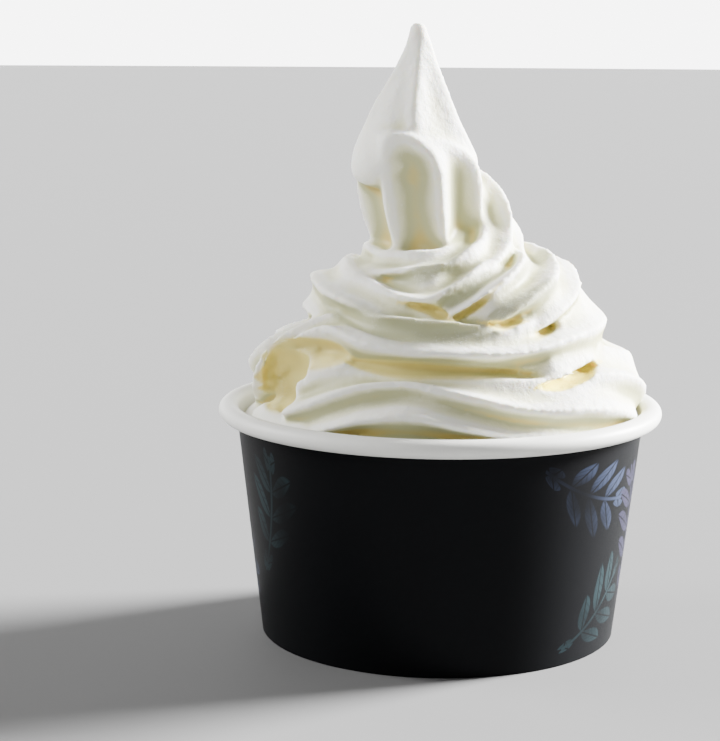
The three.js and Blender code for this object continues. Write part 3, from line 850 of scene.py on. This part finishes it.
def add_node(tree, kind, inputs=(), **settings):
    """Node of a kind with its settings and inputs, each named or numbered, a value or a socket."""
    node = tree.nodes.new("ShaderNode" + kind)
    for name, value in settings.items():
        setattr(node, name, value)
    for key, value in dict(inputs).items():
        link(tree, value, node.inputs[key])
    return node


def calc(tree, operation, *values):
    """Result of one Math node."""
    return add_node(tree, "Math", enumerate(values), operation=operation).outputs[0]


def soft_step(tree, value, low, high):
    """0 below low, 1 above high and smooth between."""
    inputs = {"Value": value, "From Min": low, "From Max": high}
    return add_node(tree, "MapRange", inputs, interpolation_type="SMOOTHSTEP").outputs[0]


def mix_colour(tree, factor, one, other):
    """Colour between two colours."""
    node = add_node(tree, "Mix", data_type="RGBA")
    for socket, value in ((node.inputs[0], factor), (node.inputs[6], one), (node.inputs[7], other)):
        link(tree, value, socket)
    return node.outputs[2]


def place_in_mm(tree):
    """Object coordinates as a vector in millimetres."""
    place = add_node(tree, "TexCoord").outputs["Object"]
    return add_node(tree, "VectorMath", {0: place, 1: (1 / MM,) * 3}, operation="MULTIPLY").outputs[0]


def noise(tree, vector, scale, detail=2.0, roughness=0.5):
    """Noise value around 0.5, its scale in features per unit of the vector."""
    inputs = {"Vector": vector, "Scale": scale, "Detail": detail, "Roughness": roughness}
    return add_node(tree, "TexNoise", inputs).outputs[0]


def toned(tree, tone, colour):
    """Colour made darker or lighter by a tone around 1."""
    return add_node(tree, "HueSaturation", {"Value": tone, "Color": colour}).outputs[0]


def bumped(tree, height, strength, distance):
    """Normal of a surface that a height between 0 and 1 raises by a distance in metres."""
    inputs = {"Height": height, "Strength": strength, "Distance": distance}
    return add_node(tree, "Bump", inputs).outputs[0]


def kept(tree, name):
    """Value that the mesh keeps for each point."""
    return add_node(tree, "Attribute", attribute_name=name).outputs["Fac"]


def new_group(name, inputs, outputs):
    """Empty node group with named float sockets, and a Place vector where it is asked for."""
    tree = bpy.data.node_groups.new(name, "ShaderNodeTree")
    for direction, sockets in (("INPUT", inputs), ("OUTPUT", outputs)):
        for socket in sockets:
            kind = "NodeSocketVector" if socket == "Place" else "NodeSocketFloat"
            tree.interface.new_socket(socket, in_out=direction, socket_type=kind)
    return tree, tree.nodes.new("NodeGroupInput").outputs, tree.nodes.new("NodeGroupOutput").inputs


def use_group(tree, group, inputs):
    """Outputs of a node group placed in a tree with these inputs."""
    node = tree.nodes.new("ShaderNodeGroup")
    node.node_tree = group
    for name, value in inputs.items():
        link(tree, value, node.inputs[name])
    return node.outputs


def new_material(name):
    """Material with its node tree and its shader."""
    material = bpy.data.materials.new(name)
    material.use_nodes = True
    return material, material.node_tree, material.node_tree.nodes["Principled BSDF"]


def set_inputs(tree, node, **values):
    """Set or feed a node's inputs, named with _ for the spaces."""
    for name, value in values.items():
        link(tree, value, node.inputs[name.replace("_", " ")])


def paper_group():
    """Fibres and slight mottling of coated board: a height for bump and a tone around 1."""
    tree, given, result = new_group("paper_grain", ["Place"], ["Height", "Tone"])
    fibres = noise(tree, given["Place"], *FIBRES)
    mottle = noise(tree, given["Place"], *MOTTLE)
    link(tree, fibres, result["Height"])
    tone = calc(tree, "MULTIPLY_ADD", mottle, *MOTTLE_TONE)
    link(tree, calc(tree, "MULTIPLY_ADD", fibres, FIBRE_TONE, tone), result["Tone"])
    return tree


def sprig_group():
    """One printed leafy sprig on the cup's wall: leaves in pairs along a stem, each with a clear midrib.
    Mask is 1 on the leaves and the stem, less on midribs and veins."""
    tree, given, result = new_group("leafy_sprig", ["Place", "Azimuth", "Height", "Turn", "Length"], ["Mask"])
    x, y, z = add_node(tree, "SeparateXYZ", {0: given["Place"]}).outputs
    azimuth = calc(tree, "RADIANS", given["Azimuth"])
    cosine, sine = calc(tree, "COSINE", azimuth), calc(tree, "SINE", azimuth)
    ahead = calc(tree, "ADD", calc(tree, "MULTIPLY", x, cosine), calc(tree, "MULTIPLY", y, sine))
    aside = calc(tree, "SUBTRACT", calc(tree, "MULTIPLY", y, cosine), calc(tree, "MULTIPLY", x, sine))
    across = calc(tree, "MULTIPLY", calc(tree, "ARCTAN2", aside, ahead), PRINT_RADIUS)
    up = calc(tree, "SUBTRACT", z, given["Height"])
    turn = calc(tree, "RADIANS", given["Turn"])
    cosine, sine = calc(tree, "COSINE", turn), calc(tree, "SINE", turn)
    along = calc(tree, "ADD", calc(tree, "MULTIPLY", across, cosine), calc(tree, "MULTIPLY", up, sine))
    off = calc(tree, "SUBTRACT", calc(tree, "MULTIPLY", up, cosine), calc(tree, "MULTIPLY", across, sine))
    bend = calc(tree, "MULTIPLY", calc(tree, "MULTIPLY", along, along), STEM_BEND)
    side = calc(tree, "ABSOLUTE", calc(tree, "SUBTRACT", off, bend))
    slanted = calc(tree, "SUBTRACT", along, calc(tree, "MULTIPLY", side, LEAF_SLANT))
    number = calc(tree, "ROUND", calc(tree, "DIVIDE", slanted, LEAF_SPACING))
    pair = calc(tree, "MULTIPLY", number, LEAF_SPACING)
    leaf_off = calc(tree, "SUBTRACT", slanted, pair)
    taper = calc(tree, "SUBTRACT", 1.0, calc(tree, "POWER", calc(tree, "DIVIDE", pair, given["Length"]), 2.0))
    leaf_length = calc(tree, "MULTIPLY", calc(tree, "MAXIMUM", taper, SMALLEST_TAPER), LEAF_LENGTH)
    share = calc(tree, "DIVIDE", side, leaf_length)
    plump = calc(tree, "MULTIPLY", calc(tree, "MULTIPLY", share, calc(tree, "SUBTRACT", 1.0, share)), 4.0)
    from_midrib = calc(tree, "ABSOLUTE", leaf_off)
    edge = calc(tree, "SUBTRACT", calc(tree, "MULTIPLY", plump, LEAF_HALF_WIDTH), from_midrib)
    leaf = soft_step(tree, edge, *LEAF_EDGE)
    inside = calc(tree, "LESS_THAN", calc(tree, "ABSOLUTE", pair), given["Length"])
    leaf = calc(tree, "MULTIPLY", leaf, inside)
    midrib = soft_step(tree, from_midrib, *MIDRIB_EDGE)
    vein_wave = calc(tree, "SINE", calc(tree, "MULTIPLY", calc(tree, "ADD", side, from_midrib), VEIN_RATE))
    veins = calc(tree, "MULTIPLY_ADD", soft_step(tree, vein_wave, *VEIN_EDGE), 1 - VEIN_SHADE, VEIN_SHADE)
    stem = calc(tree, "SUBTRACT", 1.0, soft_step(tree, side, *STEM_EDGE))
    reach = calc(tree, "LESS_THAN", calc(tree, "ABSOLUTE", along), given["Length"])
    stem = calc(tree, "MULTIPLY", stem, reach)
    veined = calc(tree, "MULTIPLY", calc(tree, "MULTIPLY", leaf, midrib), veins)
    near = calc(tree, "GREATER_THAN", ahead, 0.0)
    link(tree, calc(tree, "MULTIPLY", calc(tree, "MAXIMUM", veined, stem), near), result["Mask"])
    return tree


def printed_paper(grain, sprig):
    """Matt black print with dusky leafy sprigs at the sides and back; the front is left plain."""
    material, tree, shader = new_material("black_printed_paper")
    place = place_in_mm(tree)
    paper = use_group(tree, grain, {"Place": place})
    colour = BLACK_INK
    for azimuth, height, turn, length, tint in SPRIGS:
        mask = use_group(tree, sprig, {
            "Place": place, "Azimuth": azimuth, "Height": height, "Turn": turn, "Length": length,
        })["Mask"]
        colour = mix_colour(tree, mask, colour, tint)
    faded = noise(tree, place, *FADING)
    colour = mix_colour(tree, soft_step(tree, faded, *FADING_RANGE), colour, BLACK_INK)
    colour = toned(tree, paper["Tone"], colour)
    bump = bumped(tree, paper["Height"], *PRINT_BUMP)
    rough = calc(tree, "MULTIPLY_ADD", paper["Height"], *PRINT_ROUGHNESS)
    set_inputs(
        tree, shader, Base_Color=colour, Roughness=rough, Normal=bump,
        Specular_IOR_Level=PRINT_SPECULAR,
    )
    return material


def white_paper(grain):
    """Smooth white coated board, barely warm, with a soft satin light."""
    material, tree, shader = new_material("white_coated_paper")
    place = place_in_mm(tree)
    paper = use_group(tree, grain, {"Place": place})
    colour = toned(tree, paper["Tone"], WHITE_BOARD)
    bump = bumped(tree, paper["Height"], *BOARD_BUMP)
    rough = calc(tree, "MULTIPLY_ADD", paper["Height"], *BOARD_ROUGHNESS)
    set_inputs(
        tree, shader, Base_Color=colour, Roughness=rough, Normal=bump,
        Specular_IOR_Level=BOARD_SPECULAR,
    )
    return material


def frozen_yogurt():
    """Pale cream that glows a little within. Its tone is painted shade that follows the hollow depths and how
    far it faces down, with a slow drift of tone besides, from near white frosty crests to warm shaded
    hollows; painted dull green shade and painted amber glow lie over that."""
    material, tree, shader = new_material("frozen_yogurt")
    place = place_in_mm(tree)
    fine, broad = kept(tree, "fine_hollow"), kept(tree, "broad_hollow")
    olive_shade, hollow_glow = kept(tree, "shaded"), kept(tree, "painted_hollow_glow")
    drift = noise(tree, place, *DRIFT)
    normal = add_node(tree, "TexCoord").outputs["Normal"]
    upward = add_node(tree, "SeparateXYZ", {0: normal}).outputs["Z"]
    facing_up = soft_step(tree, upward, *FACING_RANGE)
    # Painted shade value: higher in deeper hollows and where the surface faces down, with a slow random
    # drift.
    hollow = calc(tree, "MULTIPLY_ADD", broad, BROAD_SHARE, calc(tree, "MULTIPLY", fine, FINE_SHARE))
    hollow = calc(tree, "MULTIPLY_ADD", calc(tree, "SUBTRACT", drift, 0.5), DRIFT_SHARE, hollow)
    hollow = calc(tree, "MULTIPLY_ADD", calc(tree, "SUBTRACT", 0.5, facing_up), FACING_SHARE, hollow)
    # Painted shade: the colour goes from the crest colour to side, groove and deep shade as that value grows.
    colour = mix_colour(tree, soft_step(tree, hollow, *SIDE_RANGE), YOGURT_CREST, YOGURT_SIDE_SHADE)
    colour = mix_colour(tree, soft_step(tree, hollow, *GROOVE_RANGE), colour, YOGURT_GROOVE_SHADE)
    colour = mix_colour(tree, soft_step(tree, hollow, *DEEP_RANGE), colour, YOGURT_DEEP_SHADE_GLOW)
    # Painted olive shade along the listed stretches of the folds.
    colour = mix_colour(tree, calc(tree, "MULTIPLY", olive_shade, OLIVE_SHADE_SHARE), colour, YOGURT_OLIVE_SHADE)
    # Painted amber glow in the hollows, turning to a painted golden glow above 1.
    colour = mix_colour(tree, hollow_glow, colour, YOGURT_AMBER_GLOW)
    colour = mix_colour(tree, calc(tree, "SUBTRACT", hollow_glow, 1.0), colour, YOGURT_GOLD_GLOW)
    crystals = noise(tree, place, *CRYSTALS)
    ripples = noise(tree, place, *RIPPLES)
    exposed = calc(tree, "SUBTRACT", 1.0, soft_step(tree, hollow, *EXPOSED_RANGE))
    frost = calc(tree, "MULTIPLY", exposed, soft_step(tree, ripples, *RIPPLE_RANGE))
    speckle = calc(tree, "MULTIPLY", frost, soft_step(tree, crystals, *CRYSTAL_RANGE))
    colour = mix_colour(tree, calc(tree, "MULTIPLY", speckle, FROST_SHARE), colour, FROST)
    grain = calc(tree, "MULTIPLY", crystals, calc(tree, "MULTIPLY_ADD", frost, *GRAIN_OF_FROST))
    height = calc(tree, "ADD", grain, calc(tree, "MULTIPLY", ripples, RIPPLE_HEIGHT))
    bump = bumped(tree, height, *YOGURT_BUMP)
    rough = calc(tree, "MULTIPLY_ADD", exposed, *YOGURT_ROUGHNESS)
    set_inputs(
        tree, shader, Base_Color=colour, Roughness=rough, Normal=bump,
        Specular_IOR_Level=YOGURT_SPECULAR, Subsurface_Weight=SUBSURFACE_WEIGHT,
        Subsurface_Radius=SUBSURFACE_RADIUS, Subsurface_Scale=SUBSURFACE_SCALE,
    )
    return material


def floor_material():
    """Plain pale matt surface with a faint unevenness of tone."""
    material, tree, shader = new_material("pale_floor")
    place = add_node(tree, "TexCoord").outputs["Object"]
    tone = calc(tree, "MULTIPLY_ADD", noise(tree, place, FLOOR_FEATURES), *FLOOR_TONE)
    colour = toned(tree, tone, FLOOR_WHITE)
    set_inputs(tree, shader, Base_Color=colour, Roughness=FLOOR_ROUGHNESS, Specular_IOR_Level=FLOOR_SPECULAR)
    return material


paper_grain = paper_group()
black_paper = printed_paper(paper_grain, sprig_group())
board = white_paper(paper_grain)

yogurt = make_yogurt()
yogurt.data.materials.clear()
yogurt.data.materials.append(frozen_yogurt())

wall, printed = make_wall()
wall.data.materials.append(black_paper)
wall.data.materials.append(board)
wall.data.polygons.foreach_set("material_index", np.where(printed, 0, 1).astype(np.int32))

base = make_base()
base.data.materials.append(board)

for piece, node in ((yogurt, "yogurt"), (wall, "cup_wall"), (base, "cup_base")):
    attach(piece, "root")
    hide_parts(node)


# Stage, lights and camera, in metres.

def add_floor():
    """Wide level disc under the cup."""
    rings = revolved_points(np.array([[radius, 0.0] for radius in FLOOR_RINGS]), FLOOR_SEGMENTS)
    middle = list(range(FLOOR_SEGMENTS))[::-1]
    floor = add_object("floor", rings, grid_faces(len(rings), FLOOR_SEGMENTS) + [middle])
    floor.data.materials.append(floor_material())


def add_soft_sun(name, towards, strength, spread):
    """Broad distant light from a direction, its spread an angle in degrees."""
    lamp = bpy.data.lights.new(name, "SUN")
    lamp.energy = strength
    lamp.angle = np.radians(spread)
    holder = bpy.data.objects.new(name, lamp)
    holder.rotation_euler = Vector(towards).to_track_quat("Z", "Y").to_euler()
    bpy.context.collection.objects.link(holder)


def add_soft_spot(name, place, target, power, size, cone):
    """Soft round light near by, its beam kept to a cone with a blurred edge; the cone is in degrees."""
    lamp = bpy.data.lights.new(name, "SPOT")
    lamp.energy = power
    lamp.shadow_soft_size = size
    lamp.spot_size = np.radians(cone)
    lamp.spot_blend = 1.0
    holder = bpy.data.objects.new(name, lamp)
    holder.location = place
    holder.rotation_euler = (Vector(place) - Vector(target)).to_track_quat("Z", "Y").to_euler()
    bpy.context.collection.objects.link(holder)


def add_world(fill, backdrop):
    """Even white fill, growing to a brighter white backdrop low down behind the cup."""
    world = bpy.data.worlds.new("studio")
    world.use_nodes = True
    tree = world.node_tree
    direction = add_node(tree, "TexCoord").outputs["Generated"]
    _, away, up = add_node(tree, "SeparateXYZ", {0: direction}).outputs
    facing = soft_step(tree, away, *BACKDROP_WIDTH)
    low = calc(tree, "SUBTRACT", 1.0, soft_step(tree, up, *BACKDROP_HEIGHT))
    inputs = {"Value": calc(tree, "MULTIPLY", facing, low), "To Min": fill, "To Max": backdrop}
    strength = add_node(tree, "MapRange", inputs).outputs[0]
    link(tree, strength, tree.nodes["Background"].inputs["Strength"])
    tree.nodes["Background"].inputs["Color"].default_value = (1, 1, 1, 1)
    bpy.context.scene.world = world


def add_camera():
    """Camera almost level with the tip of the swirl, tilted down 9 degrees."""
    right, up = Vector(CAMERA_RIGHT), Vector(CAMERA_UP)
    camera = bpy.data.cameras.new("camera")
    camera.lens = CAMERA_LENS
    camera.sensor_width = CAMERA_SENSOR
    camera.clip_start = CAMERA_NEAREST
    holder = bpy.data.objects.new("camera", camera)
    turned = Matrix((right, up, right.cross(up))).transposed().to_4x4()
    holder.matrix_world = Matrix.Translation(CAMERA_PLACE) @ turned
    bpy.context.collection.objects.link(holder)
    bpy.context.scene.camera = holder


add_floor()
add_world(FILL_STRENGTH, BACKDROP_STRENGTH)
add_soft_sun(*KEY_LIGHT)
add_soft_sun(*SIDE_LIGHT)
add_soft_spot(*TOP_LIGHT)
add_camera()
